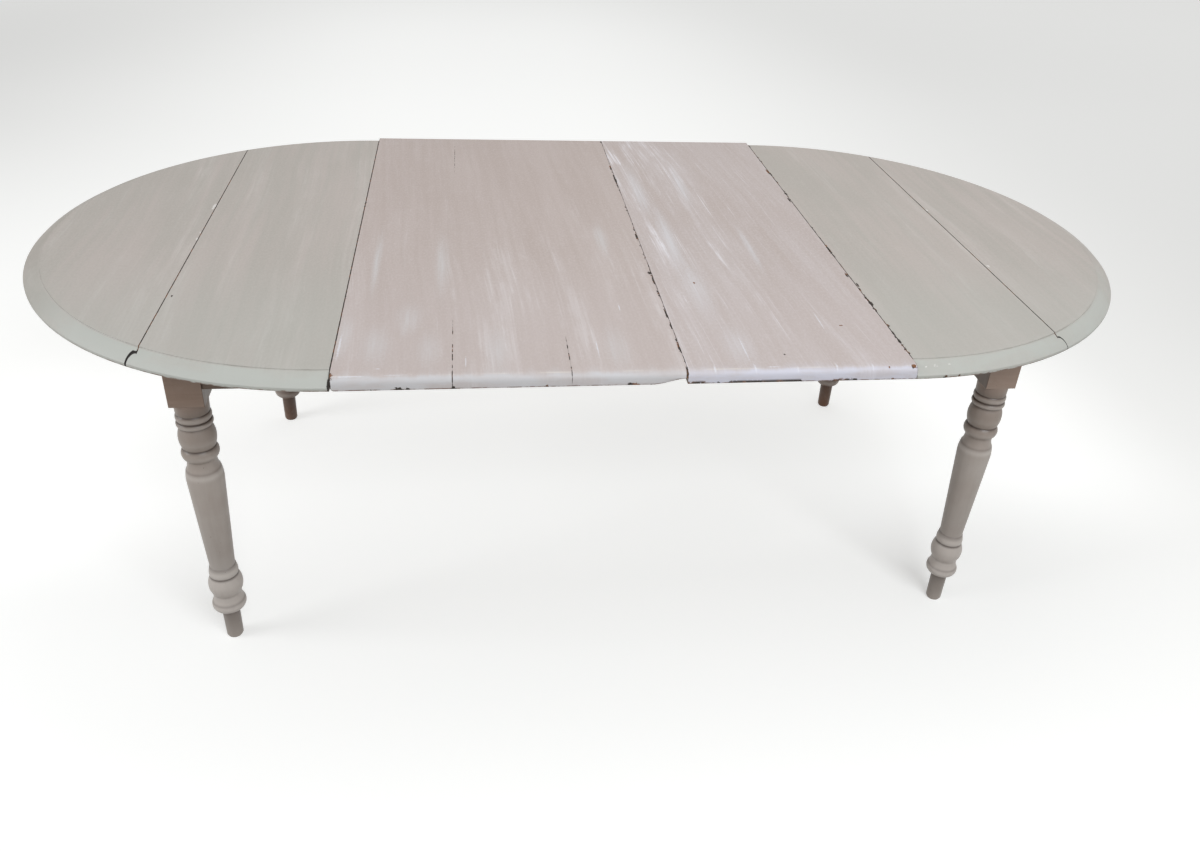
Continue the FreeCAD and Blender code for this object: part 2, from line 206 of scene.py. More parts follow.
def step(value, low, high):
    """0 below the low value, 1 above the high one, and smooth between. High may be the lower."""
    sources = {"Value": value, "From Min": low, "From Max": high}
    return node_field("ShaderNodeMapRange", sources, interpolation_type="SMOOTHSTEP")


def noise(vector, scale, detail=3.0, roughness=0.5):
    """Cloudy noise around 0.5. Three scales squeeze it along X, Y and Z."""
    if isinstance(scale, tuple):
        vector, scale = vector_arithmetic("MULTIPLY", vector, scale), 1.0
    sources = {"Vector": vector, "Scale": scale, "Detail": detail, "Roughness": roughness}
    return node_field("ShaderNodeTexNoise", sources, "Fac")


def coordinates(vector):
    """The X, Y and Z of a vector."""
    parts = node_field("ShaderNodeSeparateXYZ", {0: vector}).socket.node.outputs
    return [Field(part) for part in parts]


def blended(mask, first, second):
    """The first colour where the mask is 0 and the second where it is 1."""
    return node_field("ShaderNodeMix", {0: mask, 6: first, 7: second}, 2, data_type="RGBA")


def layered(colour, mask, share, over):
    """A colour with a share of another laid over it where the mask is 1."""
    return blended(mask * share, colour, over)


def rgb(red, green, blue):
    """A colour as a picture shows it, 0 to 255, turned to the linear values that nodes use."""
    shares = [value / 255 for value in (red, green, blue)]
    linear = [c / 12.92 if c <= 0.04045 else ((c + 0.055) / 1.055) ** 2.4 for c in shares]
    return (*linear, 1.0)


print("a mid grey of 128 is", round(rgb(128, 128, 128)[0], 3), "in linear light")

# %% [markdown]
# A pattern that several paints use goes into a group, built once. It is written as a function of
# fields: its parameters are the group's inputs, and the kind of each follows from the value that
# it starts with, a number, a vector or a colour.

# %% Write the group helpers
ORIGIN = (0.0, 0.0, 0.0)


def new_group(pattern):
    """A node group from a function of fields that returns its outputs by name."""
    kinds = {1: "NodeSocketFloat", 3: "NodeSocketVector", 4: "NodeSocketColor"}
    tree = bpy.data.node_groups.new(pattern.__name__, "ShaderNodeTree")
    for name, parameter in inspect.signature(pattern).parameters.items():
        start = parameter.default
        kind = kinds[len(start) if isinstance(start, tuple) else 1]
        label = name.replace("_", " ").title()
        socket = tree.interface.new_socket(label, in_out="INPUT", socket_type=kind)
        socket.default_value = start
    given = tree.nodes.new("NodeGroupInput").outputs
    made = pattern(*[Field(socket) for socket in given if socket.name])
    for label in made:
        kind = kinds[4 if label == "Color" else 1]
        tree.interface.new_socket(label, in_out="OUTPUT", socket_type=kind)
    end = tree.nodes.new("NodeGroupOutput")
    for label, field in made.items():
        feed(end.inputs[label], field)
    print(pattern.__name__.replace("_", " ") + ":", len(tree.nodes), "nodes")
    return tree


def use_group(group, **sources):
    """The outputs of one copy of a group. A source is named as its socket, in small letters."""
    named = {name.replace("_", " ").title(): source for name, source in sources.items()}
    copy = node_field("ShaderNodeGroup", named, node_tree=group).socket.node
    return {socket.name: Field(socket) for socket in copy.outputs}


print("group helpers are ready")

# %% [markdown]
# ## Brushed paint
# Each part of the top was painted along its boards, by hand, over years. One group holds what all
# of those coats share: soft clouds of a second tone, veils where the paler top coat lies thin,
# hair-thin lines where single bristles dragged it and broke off, and a fine mottle. The strokes
# sway a little and lean, as an arm's do. The finest noise, a nap, shows only in the bump. The group
# also gives a comb of bristle lines, through which single veils of paint are laid on.

# %% Build the brushed paint group
def brushed_paint(
    vector=ORIGIN, paint=rgb(184, 176, 170), cloud=rgb(180, 179, 173), streak=rgb(212, 206, 205),
    veil_share=0.5, line_share=0.5, lean=0.05,
):
    sway = (noise(vector, (2.2, 1.7, 2.0), 1.0) - 0.5) * 0.045
    shift = sway + coordinates(vector)[1] * lean
    along = vector_arithmetic("ADD", vector, node_field("ShaderNodeCombineXYZ", {"X": shift}))
    clouds = noise(along, (8.0, 1.6, 3.0))
    strokes = noise(along, (62.0, 1.9, 4.0))
    colour = blended(step(clouds * 0.55 + strokes * 0.45, 0.38, 0.62), paint, cloud)
    dabs = step(noise(along, (60.0, 14.0, 20.0), 4.0, 0.6), 0.52, 0.78)
    colour = layered(colour, dabs, 0.14, streak)
    veil = step(noise(along, (17.0, 1.2, 3.0), 4.0, 0.55), 0.46, 0.70)
    brush = noise(along, (160.0, 2.4, 6.0), 3.0, 0.6)
    hair = noise(along, (400.0, 3.6, 8.0), 3.0, 0.6)
    thin = veil * (step(brush, 0.36, 0.62) + 0.25)
    lines = step(hair, 0.52, 0.66) * (step(brush, 0.46, 0.62) + 0.15) * (veil + 0.40)
    breaks = step(noise(along, (46.0, 9.0, 12.0), 4.0, 0.65), 0.40, 0.58) * 0.65 + 0.35
    streaks = (thin * veil_share + lines * line_share) * breaks
    colour = blended(limited(streaks), colour, streak)
    mottle = noise(along, (260.0, 120.0, 160.0), 4.0, 0.65)
    colour = layered(colour, step(mottle, 0.48, 0.66), 0.18, streak)
    colour = layered(colour, step(mottle, 0.50, 0.34), 0.10, rgb(140, 130, 124))
    nap = noise(along, (700.0, 40.0, 200.0))
    comb = step(noise(vector, (170.0, 4.0, 6.0), 3.0, 0.6), 0.36, 0.64) * 0.30 + 0.32
    return {"Color": colour, "Height": hair * 0.5 + nap * 0.4 + brush * 0.5, "Comb": comb}


BRUSHED_PAINT = new_group(brushed_paint)

# %% [markdown]
# ## Wear along a seam
# Where two parts of the top meet, dirt fills the gap and the arris loses its paint: mostly as a
# hairline that comes and goes, here and there as a chip down to brown wood. The mask is the
# distance from the seam, compared with a width that noise makes uneven along Y.

# %% Build the seam wear group
CRISPNESS = 3500.0


def within(width, off):
    """A crisp mask of the points that are off a line by less than a width."""
    return limited((width - off) * CRISPNESS)


def seam_wear(
    vector=ORIGIN, seam=0.0, line=0.0005, breaks=0.0, chip=0.002, chip_share=0.3,
    near=-1.0, far=1.0, lowest=0.0,
):
    x, y, z = coordinates(vector)
    spell = noise(vector, (3.0, 14.0, 3.0), 2.0)
    flakes = noise(vector, (160.0, 95.0, 60.0), 3.0, 0.6)
    threshold = 0.82 - chip_share * 0.30
    chips = step(spell * 0.55 + flakes * 0.55, threshold, threshold + 0.06)
    dashes = step(noise(vector, (40.0, 60.0, 60.0), 3.0, 0.6), 0.42, 0.58)
    hairline = line * (1.0 - breaks * dashes) * (flakes * 0.8 + 0.6)
    inside = within(hairline + chips * chip, abs(x - seam))
    lengthwise = step(y, near, near + 0.02) * step(y, far, far - 0.02)
    return {"Mask": inside * (lengthwise * step(z, lowest, lowest + 0.0005))}


SEAM_WEAR = new_group(seam_wear)

# %% [markdown]
# ## Where the edge starts
# The outline of the opened top is an oval: straight between the two halves and round at the ends.
# The distance from its middle line tells at any point how near the edge is, and that one number
# places the edge's paler paint with its painted cool reflection, the dirt or ridge along its step
# and the chips along its lower arris. A lift shifts all that hangs on the height, for a leaf whose
# lower arris is worn away.

# %% Build the edge group
def outline_reach(x, y):
    """The distance from the middle line of the opened top, which is its radius at the edge."""
    return distance(larger(abs(x) - HALF_OPENING, 0.0), y)


def edge_wear(
    vector=ORIGIN, start=TOP_RADIUS - MOULDING_WIDTH, edge_chips=0.3, drip=0.006, lift=0.0,
):
    x, y, z = coordinates(vector)
    reach = outline_reach(x, y)
    drips = noise(vector, (60.0, 7.0, 7.0), 4.0, 0.6) - 0.5
    patches = step(noise(vector, (9.0, 9.0, 40.0), 4.0, 0.6), 0.36, 0.60) * 0.5 + 0.5
    band = step(reach + drips * drip, start - 0.003, start + 0.006) * patches
    faint = step(reach + drips * (drip * 6.0), start - 0.02, start + 0.02)
    quirk = step(abs(reach - start), 0.0022, 0.0002)
    up = z - lift
    low = step(up, TOP_UNDERSIDE + 0.009, TOP_UNDERSIDE + 0.004)
    lowest = step(up, TOP_UNDERSIDE + 0.004, TOP_UNDERSIDE + 0.001)
    lively = noise(vector, 150.0, 3.0, 0.6) * 0.6 + noise(vector, 22.0, 2.0) * 0.4
    lively = lively + edge_chips * 0.26 + (low * 0.08 + lowest * 0.08)
    rub = step(noise(vector, 70.0, 3.0, 0.6), 0.38, 0.6)
    return {
        "Band": larger(band, faint * 0.35),
        "Dirt": quirk * step(noise(vector, 14.0, 4.0, 0.6), 0.50, 0.66),
        "Ridge": quirk * step(noise(vector, 12.0, 4.0, 0.6), 0.42, 0.62),
        "Chips": step(lively, 0.72, 0.755) * low,
        "Rubbed": rub * step(up, TOP_UNDERSIDE + 0.0048, TOP_UNDERSIDE + 0.0028),
        "Underside": step(up, TOP_UNDERSIDE + 0.0012, TOP_UNDERSIDE + 0.0006),
    }


EDGE_WEAR = new_group(edge_wear)

# %% [markdown]
# ## Single marks
# A few chips, scratches and pale dabs stand alone. Each is a ragged oval at a place of its own, so
# the group takes a place and a half size. Noise eats into the outline, and a soft one fades out.

# %% Build the mark group
def mark(vector=ORIGIN, place=ORIGIN, half_size=(0.01, 0.01, 0.01), raggedness=0.8, softness=0.15):
    share = vector_arithmetic("DIVIDE", vector_arithmetic("SUBTRACT", vector, place), half_size)
    ragged = (noise(vector, 240.0, 3.0, 0.6) - 0.5) * (raggedness * 2.5)
    reach = vector_arithmetic("LENGTH", share, output="Value") + ragged
    return {"Mask": step(reach, 1.0, 1.0 - softness)}


MARK = new_group(mark)

# %% [markdown]
# ## Wood grain
# Bare wood shows on the runners, under the top and in every chip. Long noise, squeezed across
# the grain, gives fibres, and a second, slower noise gives the growth rings' light and dark.

# %% Build the grain group
def grain(vector=ORIGIN, pale=rgb(176, 142, 104), dark=rgb(112, 80, 52), grime=0.4):
    rings = noise(vector, (34.0, 1.6, 34.0), 4.0, 0.6)
    fibres = noise(vector, (420.0, 9.0, 420.0), 4.0, 0.6)
    colour = blended(step(rings * 0.6 + fibres * 0.4, 0.36, 0.64), pale, dark)
    pores = step(noise(vector, (900.0, 30.0, 900.0), 2.0), 0.66, 0.74)
    colour = layered(colour, pores, 0.6, rgb(70, 50, 34))
    spots = step(noise(vector, 7.0, 5.0, 0.6), 0.45, 0.75)
    colour = layered(colour, spots, grime, rgb(62, 50, 40))
    return {"Color": colour, "Height": fibres - pores * 0.5}


GRAIN = new_group(grain)

# %% [markdown]
# ## Faces that come and go
# When a leaf is lifted or hangs down, its hidden side comes into view, and in the rule joint that
# is a curved face. Only the mouth of the joint, at the edge of the top, is black with dirt, and
# there the gap shows as a dark arc about the hinge, widest at the near end of the left one.

# %% Build the group of hidden faces
JOINT_ARC = JOINT_RADIUS + 0.0003
JOINT_HALF_WIDTH = 0.0262
HIDDEN_TOP = (0.7480, 0.7465)


def hidden_faces(vector=ORIGIN):
    x, y, z = coordinates(vector)
    normal = coordinates(new_field(vector.tree, "ShaderNodeTexCoord", "Normal"))
    mouth = step(outline_reach(x, y), TOP_RADIUS - 0.034, TOP_RADIUS - 0.030)
    inboard = step(abs(x), HALF_OPENING + 0.008, HALF_OPENING + 0.004)
    sides = step(abs(normal[0]), 0.90, 0.97) * inboard
    across = abs(x) - HINGE_SEAM
    in_joint = step(abs(across), JOINT_HALF_WIDTH + 0.0008, JOINT_HALF_WIDTH)
    curved = step(abs(normal[1]), 0.04, 0.02) * in_joint * (1.0 - mouth)
    left_front = step(x, 0.1, -0.1) * step(y, 0.1, -0.1)
    off = abs(distance(across, z - HINGE_HEIGHT) - JOINT_ARC)
    line = within(left_front * 0.0010 + 0.0008, off)
    line = line * step(across, -0.001, 0.0) * step(z, 0.7465, 0.7460)
    return {
        "Bare": larger(sides, curved) * step(z, *HIDDEN_TOP),
        "Gap": line * larger(step(abs(normal[1]), 0.15, 0.25), mouth),
    }


HIDDEN_FACES = new_group(hidden_faces)

# %% [markdown]
# ## Where the paint is gone
# Under the paint lies wood: dark or brown in the chips, black in the gaps, plain under the top,
# and with daubs of paint that ran in on the hidden faces.

# %% Build the group of bared wood
def bared_wood(
    vector=ORIGIN, color=rgb(180, 172, 166), worn=0.0, joint_gap=0.0, seam_gap=0.0,
    bare=0.0, underside=0.0,
):
    chip_tone = step(noise(vector, 55.0, 2.0), 0.50, 0.66)
    chips = blended(chip_tone, rgb(52, 44, 39), rgb(124, 84, 56))
    wood = use_group(GRAIN, vector=vector, pale=rgb(150, 118, 86), dark=rgb(98, 70, 48))["Color"]
    rubs = step(noise(vector, (30.0, 8.0, 60.0), 4.0, 0.6), 0.42, 0.62)
    daubed = layered(rgb(138, 124, 112), rubs, 0.6, wood)
    color = blended(worn, color, chips)
    color = blended(joint_gap, color, rgb(30, 26, 24))
    color = blended(seam_gap, color, rgb(34, 29, 26))
    return {"Color": blended(underside, blended(bare, color, daubed), wood)}


BARED_WOOD = new_group(bared_wood)

# %% [markdown]
# ## From patterns to a material
# Every material ends the same way: colour and roughness into the Principled shader, and height
# through a bump. The shader and the bump stay in the material itself, outside the groups.

# %% Write the material helpers
def new_material(name):
    """A material, its shader and the field that is each point's own place in the table."""
    material = bpy.data.materials.new(name)
    material.use_nodes = True
    tree = material.node_tree
    vector = new_field(tree, "ShaderNodeTexCoord", "Object")
    return material, tree.nodes["Principled BSDF"], vector


def finish_shader(shader, colour, roughness, height, depth):
    bump = node_field("ShaderNodeBump", {"Height": height, "Distance": depth, "Strength": 1.0})
    feed(shader.inputs["Base Color"], colour)
    feed(shader.inputs["Roughness"], roughness)
    feed(shader.inputs["Normal"], bump)


def marks_together(vector, marks, raggedness=0.8, softness=0.15):
    """One mask of several single marks, each a place and a half size."""
    result = 0.0
    for place, half_size in marks:
        mark = use_group(
            MARK, vector=vector, place=place, half_size=half_size,
            raggedness=raggedness, softness=softness,
        )
        result = larger(result, mark["Mask"])
    return result


print("material helpers are ready")

# %% [markdown]
# ## The paint of the top
# The halves, the wide leaf and the narrow leaf were painted at different times. They share one
# build-up: brushed paint with combed veils, a painted cool reflection towards the viewer, a paler
# edge that carries more of that reflection, dirt in the step of the moulding, then seams, chips and
# bare wood on top. Only the paints, the seams and the marks differ.

# %% Write the build-up of a top paint
MARK_DEPTH = 0.01
WORN_START = 0.034
WORN_RISE = 0.010
LEAF_EDGE = TOP_RADIUS - 0.009
PALE_MARKS = {
    "pale": (0.9, 0.5, 0.75, rgb(228, 226, 224)),
    "runs": (0.6, 0.8, 0.7, rgb(221, 222, 230)),
}


def flat_marks(*rows):
    """Marks on the flat of the top: an X, a Y and a half size along each."""
    return [((x, y, TABLE_HEIGHT), (half_x, half_y, MARK_DEPTH)) for x, y, half_x, half_y in rows]


def low_chips(*rows):
    """Chips in the lower arris of the near edge: an X and a half size along it."""
    return [((x, -TOP_RADIUS, TOP_UNDERSIDE), (half_x, 0.010, 0.0075)) for x, half_x in rows]


def seam_end(x, half_x):
    """Dirt in a seam where it comes down over the near edge."""
    return [((x, -TOP_RADIUS, 0.737), (half_x, 0.016, 0.017))]


def painted_edge(colour, x, y, edge, paints, hinged):
    """Painted cool reflection towards the viewer and on the edge's paler paint, with dirt or a ridge
    along its step.
    """
    # Painted light: a cool reflection laid into the colour, strongest towards the viewer and on the
    # edge.
    near = step(y, -0.10, -0.50)
    colour = layered(colour, near, paints["near_reflection_share"], paints["near"])
    cool = (near * 0.9 + 0.1) * paints["band_share"]
    colour = layered(colour, edge["Band"], cool, paints["band"])
    if hinged:
        # Painted shade: the edge at the left end of the halves is darkened, as it turns away from the
        # light.
        handled = edge["Band"] * step(x, -0.95, -1.10)
        colour = layered(colour, handled, 0.5, rgb(150, 145, 137))
        return layered(colour, edge["Dirt"], 0.22, rgb(128, 122, 114))
    return layered(colour, edge["Ridge"], 0.5, rgb(222, 217, 210))


def top_paint(name, paints, shares, start, seams, chipping, marks, hinged=False, worn_rise=0.0):
    """One of the top's paints. Shares and chipping are functions of the place, start is where
    the edge begins, and the marks are lists by kind."""
    material, shader, vector = new_material(name)
    x, y, _ = coordinates(vector)
    veil_share, line_share = shares(x, y)
    coat = use_group(
        BRUSHED_PAINT, vector=vector, paint=paints["paint"], cloud=paints["cloud"],
        streak=paints["streak"], veil_share=veil_share, line_share=line_share, lean=paints["lean"],
    )
    colour = coat["Color"]
    if "veils" in marks:
        veils = marks_together(vector, marks["veils"], 0.55, 1.0)
        colour = layered(colour, veils, coat["Comb"] * paints["veil_share"], paints["veil"])
    worn_corner = step(x, WORN_START, LEAF_SEAM) * step(y, 0.0, -0.5)
    edge = use_group(
        EDGE_WEAR, vector=vector, start=start, edge_chips=chipping(x),
        drip=0.004 if hinged else 0.012, lift=worn_corner * worn_rise,
    )
    colour = painted_edge(colour, x, y, edge, paints, hinged)
    for kind, (raggedness, softness, share, pale) in PALE_MARKS.items():
        if kind in marks:
            mask = marks_together(vector, marks[kind], raggedness, softness)
            colour = layered(colour, mask, share, pale)
    colour = layered(colour, edge["Rubbed"], 0.9, rgb(106, 76, 60))
    worn = larger(edge["Chips"], marks_together(vector, marks["dark"]))
    for seam in seams:
        worn = larger(worn, use_group(SEAM_WEAR, vector=vector, **seam)["Mask"])
    hidden = use_group(HIDDEN_FACES, vector=vector)
    joint_gap = hidden["Gap"] if hinged else 0.0
    seam_gap = marks_together(vector, marks["gaps"], 0.3, 0.3) if "gaps" in marks else 0.0
    colour = use_group(
        BARED_WOOD, vector=vector, color=colour, worn=worn, joint_gap=joint_gap,
        seam_gap=seam_gap, bare=hidden["Bare"], underside=edge["Underside"],
    )["Color"]
    worn = larger(worn, joint_gap) * (1.0 - hidden["Bare"])
    roughness = worn * 0.25 + noise(vector, 14.0) * 0.16 + 0.42
    shader.inputs["Specular IOR Level"].default_value = 0.42
    finish_shader(shader, colour, roughness, coat["Height"] * 0.22 - worn, 0.0004)
    return material


print("the flat of the top is at", TABLE_HEIGHT, "m")

# %% [markdown]
# The halves are smoothest: a grey-green taupe with hardly a streak. Their seams with the drop
# leaves are clean dark lines, and a few pale flakes show older paint.

# %% Mix the paint of the halves
half_paint = top_paint(
    "half_top_paint",
    {
        "paint": rgb(184, 176, 171), "cloud": rgb(176, 171, 165),
        # near and band: colours of a painted cool reflection, towards the viewer and on the edge's
        # paler paint
        "streak": rgb(199, 194, 190), "near": rgb(180, 181, 175), "near_reflection_share": 0.45,
        "band": rgb(184, 187, 182), "band_share": 0.9, "lean": 0.02,
    },
    lambda x, y: (0.42, 0.28),
    TOP_RADIUS - MOULDING_WIDTH,
    [
        dict(seam=-HINGE_SEAM, line=0.0011, chip=0.001, chip_share=0.1, lowest=0.7455),
        dict(seam=HINGE_SEAM, line=0.0012, chip=0.001, chip_share=0.1, lowest=0.7455),
        dict(seam=-HALF_OPENING, line=0.0013, chip=0.0012, chip_share=0.4),
        dict(seam=HALF_OPENING, line=0.0012, chip=0.0020, chip_share=0.8, breaks=0.3),
    ],
    lambda x: -0.2,
    {
        "dark": flat_marks(
            (0.511, -0.308, 0.0022, 0.010), (0.511, -0.394, 0.0020, 0.009),
            (0.510, -0.490, 0.0022, 0.007), (-0.8203, -0.3323, 0.0015, 0.004),
        ) + low_chips((0.562, 0.005), (0.590, 0.004)),
        "gaps": seam_end(-0.5090, 0.0026),
        "pale": flat_marks(
            (-0.834, 0.1263, 0.0040, 0.022), (-0.832, -0.0604, 0.0030, 0.008),
            (-0.833, -0.0250, 0.0016, 0.006), (0.8335, 0.1152, 0.0030, 0.006),
            (0.8384, -0.2168, 0.0035, 0.006), (0.5467, -0.6342, 0.0055, 0.0035),
            (0.527, -0.6360, 0.0030, 0.0025), (0.574, -0.6300, 0.0030, 0.0020),
        ),
    },
    hinged=True,
)
print("made", half_paint.name)

# %% [markdown]
# The wide leaf is pinker. Its near left corner has cool, chalky patches, thin pale lines run along
# the boards, and the joints between its three boards have opened as broken dark cracks.

# %% Mix the paint of the wide leaf
def wide_leaf_shares(x, y):
    """More veils and lines towards the near edge."""
    near = step(y, 0.2, -0.5)
    return near * 0.50 + 0.08, near * 0.28 + 0.15


wide_paint = top_paint(
    "wide_leaf_paint",
    {
        "paint": rgb(180, 167, 162), "cloud": rgb(186, 174, 170),
        # near and band: colours of a painted cool reflection, towards the viewer and on the edge's
        # paler paint
        "streak": rgb(214, 209, 210), "near": rgb(198, 188, 187), "near_reflection_share": 0.35,
        "band": rgb(201, 200, 203), "band_share": 1.0,
        "veil": rgb(207, 209, 212), "veil_share": 0.95, "lean": 0.05,
    },
    wide_leaf_shares,
    LEAF_EDGE,
    [
        dict(seam=-HALF_OPENING, line=0.0011, chip=0.0016, chip_share=0.5),
        dict(seam=LEAF_SEAM, line=0.0007, breaks=0.6, chip=0.0030, chip_share=0.9),
        dict(seam=BOARD_SEAMS[0], line=0.0010, breaks=1.0, chip=0.0, near=-0.7, far=-0.44),
        dict(seam=BOARD_SEAMS[0], line=0.0008, breaks=1.0, chip=0.0, near=0.36, far=0.60),
        dict(seam=BOARD_SEAMS[1], line=0.0010, breaks=0.8, chip=0.0, near=-0.7, far=-0.51),
    ],
    lambda x: 0.05,
    {
        "dark": flat_marks(
            (-0.5087, -0.6400, 0.0065, 0.012), (0.0905, -0.0518, 0.0026, 0.018),
            (0.0890, -0.2428, 0.0050, 0.007), (0.0910, -0.2800, 0.0022, 0.020),
            (0.0915, -0.4339, 0.0024, 0.010), (0.0915, -0.4791, 0.0020, 0.014),
            (0.0915, -0.5343, 0.0026, 0.005), (0.0920, -0.5683, 0.0022, 0.010),
        ) + low_chips(
            (-0.396, 0.0085), (-0.381, 0.0040), (-0.306, 0.0050), (-0.004, 0.012), (-0.150, 0.003),
        ),
        "gaps": seam_end(-0.5070, 0.0030),
        "runs": flat_marks(
            (0.005, -0.400, 0.0016, 0.022), (-0.285, -0.600, 0.0016, 0.024),
            (-0.055, -0.560, 0.0016, 0.040), (-0.430, -0.620, 0.0060, 0.0020),
            (-0.480, -0.6420, 0.0400, 0.0016), (-0.400, -0.6405, 0.0300, 0.0012),
            (-0.500, -0.540, 0.0030, 0.060),
        ),
        "veils": flat_marks(
            (-0.386, -0.438, 0.034, 0.085), (-0.495, -0.500, 0.020, 0.120),
            (-0.395, -0.470, 0.010, 0.060), (-0.330, -0.200, 0.020, 0.200),
            (-0.460, -0.180, 0.012, 0.220), (-0.230, -0.560, 0.030, 0.110),
            (-0.020, -0.560, 0.030, 0.120), (0.010, -0.060, 0.020, 0.120),
            (-0.440, -0.540, 0.040, 0.100), (-0.350, -0.560, 0.030, 0.090),
        ),
    },
    worn_rise=WORN_RISE,
)
print("made", wide_paint.name)

# %% [markdown]
# The narrow leaf was whitewashed last. Its left board is the palest, with bristle lines all along
# it, and the paint ran over its near edge, whose lower arris is chipped black.

# %% Mix the paint of the narrow leaf
CHIPPED_STRETCHES = [(0.08, 0.13, 0.80), (0.16, 0.30, 1.05), (0.345, 0.40, 0.80)]


def narrow_leaf_shares(x, y):
    """Dense pale lines on the left board that thin out towards the right."""
    left = step(x, 0.30, 0.13)
    more = larger(left, step(y, -0.30, -0.62) * 0.8)
    return more * 0.75 + 0.15, left * 0.80 + 0.75


def narrow_leaf_chips(x):
    """The lower arris is chipped in three stretches, most in the middle one."""
    share = 0.05
    for start, end, more in CHIPPED_STRETCHES:
        share = share + step(x, start, start + 0.01) * step(x, end, end - 0.01) * more
    return share


narrow_paint = top_paint(
    "narrow_leaf_paint",
    {
        "paint": rgb(182, 170, 166), "cloud": rgb(189, 179, 177),
        # near and band: colours of a painted cool reflection, towards the viewer and on the edge's
        # paler paint
        "streak": rgb(224, 221, 226), "near": rgb(198, 188, 187), "near_reflection_share": 0.35,
        "band": rgb(206, 206, 218), "band_share": 1.0,
        "veil": rgb(214, 215, 221), "veil_share": 1.0, "lean": 0.06,
    },
    narrow_leaf_shares,
    LEAF_EDGE,
    [
        dict(seam=LEAF_SEAM, line=0.0007, breaks=0.5, chip=0.0014, chip_share=0.6, lowest=0.742),
        dict(seam=HALF_OPENING, line=0.0010, breaks=0.3, chip=0.0020, chip_share=0.7),
    ],
    narrow_leaf_chips,
    {
        "dark": flat_marks(
            (0.1719, -0.2925, 0.0020, 0.0040), (0.2765, -0.5950, 0.0018, 0.0030),
            (0.4164, -0.4864, 0.0045, 0.0018), (0.5010, -0.6430, 0.0055, 0.0040),
            (0.4550, -0.6440, 0.0014, 0.0020), (0.5045, 0.3900, 0.0025, 0.020),
            (0.5040, 0.1830, 0.0022, 0.016), (0.5040, -0.2587, 0.0030, 0.010),
        ),
        "runs": flat_marks(
            (0.2123, -0.6440, 0.0026, 0.024), (0.3592, -0.6440, 0.0026, 0.020),
            (0.4250, -0.6460, 0.0022, 0.018), (0.2080, -0.5700, 0.0020, 0.060),
            (0.1400, -0.6440, 0.0024, 0.022), (0.2880, -0.6480, 0.0022, 0.012),
            (0.2450, -0.6380, 0.0160, 0.0018), (0.3800, -0.4700, 0.0016, 0.050),
        ),
        "veils": flat_marks(
            (0.138, 0.250, 0.024, 0.260), (0.160, -0.080, 0.026, 0.280),
            (0.172, -0.330, 0.036, 0.200), (0.200, -0.560, 0.040, 0.110),
            (0.330, -0.120, 0.012, 0.160), (0.250, 0.280, 0.020, 0.200),
        ),
    },
)
print("made", narrow_paint.name)

# %% [markdown]
# ## The paint of the legs and aprons
# Under the top one coat of taupe covers legs and aprons. It is smoother than the top and has a
# soft sheen. High up it is painted browner and darker as shade under the top, and level strokes and
# dust show there; the inner faces of the blocks are painted darkest as shade, the feet paler as
# light, and the back feet are dark brown. Each leg carries two values for the paint to read: one is
# 1 in its grooves, which are painted dark as shade, and the other is 1 on its proudest rings, which
# are painted pale, partly where hands and brooms have rubbed the paint and partly as a painted
# highlight.

